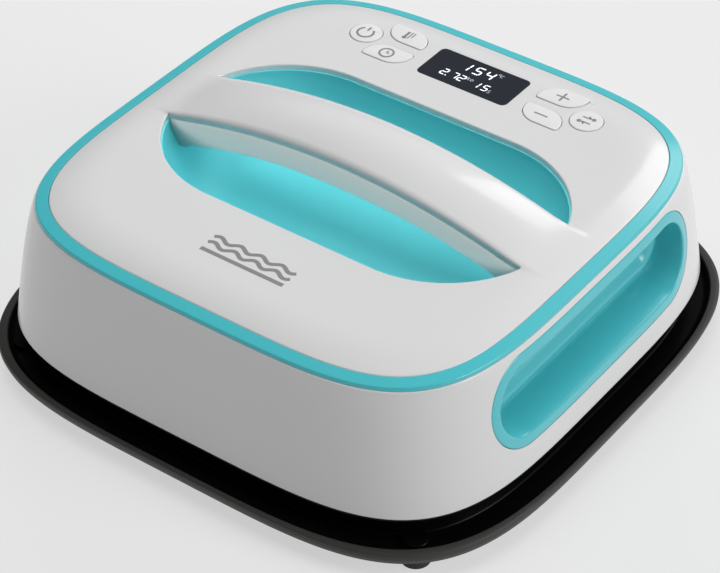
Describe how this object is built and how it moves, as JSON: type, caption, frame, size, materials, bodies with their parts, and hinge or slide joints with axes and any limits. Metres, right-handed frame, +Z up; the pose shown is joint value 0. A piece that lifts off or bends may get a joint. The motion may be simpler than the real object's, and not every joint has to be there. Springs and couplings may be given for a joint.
{
  "type": "heat press",
  "caption": "Square portable heat press with a bridge handle over a finger well, side grips, a key panel with display, and an insulated base it stands in.",
  "frame": {"origin": "middle of the footprint, at the bottom of the feet", "axes": "+Z up, -Y the front, +Y the side with the control panel and the mains inlet, +X to the user's right"},
  "size_m": [0.3056, 0.3056, 0.118],
  "materials": {
    "white_gloss": "glossy moulded housing plastic",
    "key_white": "glossy key plastic",
    "grip_grey": "satin handle underside",
    "teal_plastic": "satin coloured plastic",
    "black_plastic": "semi-gloss black base",
    "dark_plastic": "fine textured dark plastic",
    "black_rubber": "matte rubber",
    "mat_silicone": "silicone foam mat",
    "display_lens": "dark polished lens",
    "display_panel": "display module body",
    "circuit_board": "glass-epoxy board",
    "chassis_grey": "glass-filled nylon",
    "zinc_steel": "zinc plated",
    "cell_aluminium": "machined load cell bars",
    "plate_coated": "non-stick coated plate",
    "element_steel": "heat-dulled element sheath",
    "insulation_wool": "ceramic fibre pad",
    "light_pipe": "frosted light pipe",
    "component_black": "moulded component",
    "relay_blue": "relay case",
    "transformer_yellow": "taped winding and core",
    "pin_brass": "plated contacts",
    "ceramic": "ceramic body",
    "lead_red": "insulated lead",
    "lead_white": "braided heat-proof sleeve"
  },
  "bodies": {
    "base": {"base_tray": "black_plastic", "insulating_mat": "mat_silicone", "rim_gasket": "black_rubber", "foot_front_left": "black_rubber", "foot_front_right": "black_rubber", "foot_rear_left": "black_rubber", "foot_rear_right": "black_rubber", "foot_screws": "zinc_steel"},
    "press": {"housing_skirt": "white_gloss", "bottom_bezel": "dark_plastic", "bezel_screws": "zinc_steel", "trim_ring": "teal_plastic", "top_cover": "white_gloss", "handle_grip": "grip_grey", "well_liner": "teal_plastic", "side_grip_left": "teal_plastic", "side_grip_right": "teal_plastic", "display_window": "display_lens", "display_module": "display_panel", "control_board": "circuit_board", "board_screws": "zinc_steel", "status_light": "light_pipe", "buzzer": "component_black", "tact_switches": "component_black", "chassis_front": "chassis_grey", "chassis_rear": "chassis_grey", "cover_screws": "zinc_steel", "skirt_screws": "zinc_steel", "power_board": "circuit_board", "relay": "relay_blue", "transformer": "transformer_yellow", "smoothing_capacitor": "component_black", "heat_plate": "plate_coated", "heating_element": "element_steel", "insulation_pad": "insulation_wool", "heat_shield": "zinc_steel", "plate_posts": "zinc_steel", "plate_screws": "zinc_steel", "load_cells": "cell_aluminium", "thermistor": "ceramic", "thermal_fuse": "zinc_steel", "inlet_housing": "component_black", "inlet_pins": "pin_brass", "inlet_screws": "zinc_steel", "mains_leads": "lead_red", "element_leads": "lead_white", "display_ribbon": "lead_white"},
    "power_button": {"power_key": "key_white", "power_plunger": "component_black"},
    "mode_button": {"mode_key": "key_white", "mode_plunger": "component_black"},
    "temperature_button": {"temperature_key": "key_white", "temperature_plunger": "component_black"},
    "timer_button": {"timer_key": "key_white", "timer_plunger": "component_black"},
    "plus_button": {"plus_key": "key_white", "plus_plunger": "component_black"},
    "minus_button": {"minus_key": "key_white", "minus_plunger": "component_black"}
  },
  "joints": [
    {"name": "press_lift", "type": "slide", "parent": "base", "child": "press", "axis": [0, 0, 1], "range_m": [0, 0.15]},
    {"name": "power_button_press", "type": "slide", "parent": "press", "child": "power_button", "axis": [0, 0, -1], "range_m": [0, 0.0005], "stiffness_N_per_m": 1500, "springref_m": -0.0004},
    {"name": "mode_button_press", "type": "slide", "parent": "press", "child": "mode_button", "axis": [0, 0, -1], "range_m": [0, 0.0005], "stiffness_N_per_m": 1500, "springref_m": -0.0004},
    {"name": "temperature_button_press", "type": "slide", "parent": "press", "child": "temperature_button", "axis": [0, 0, -1], "range_m": [0, 0.0005], "stiffness_N_per_m": 1500, "springref_m": -0.0004},
    {"name": "timer_button_press", "type": "slide", "parent": "press", "child": "timer_button", "axis": [0, 0, -1], "range_m": [0, 0.0005], "stiffness_N_per_m": 1500, "springref_m": -0.0004},
    {"name": "plus_button_press", "type": "slide", "parent": "press", "child": "plus_button", "axis": [0, 0, -1], "range_m": [0, 0.0005], "stiffness_N_per_m": 1500, "springref_m": -0.0004},
    {"name": "minus_button_press", "type": "slide", "parent": "press", "child": "minus_button", "axis": [0, 0, -1], "range_m": [0, 0.0005], "stiffness_N_per_m": 1500, "springref_m": -0.0004}
  ]
}
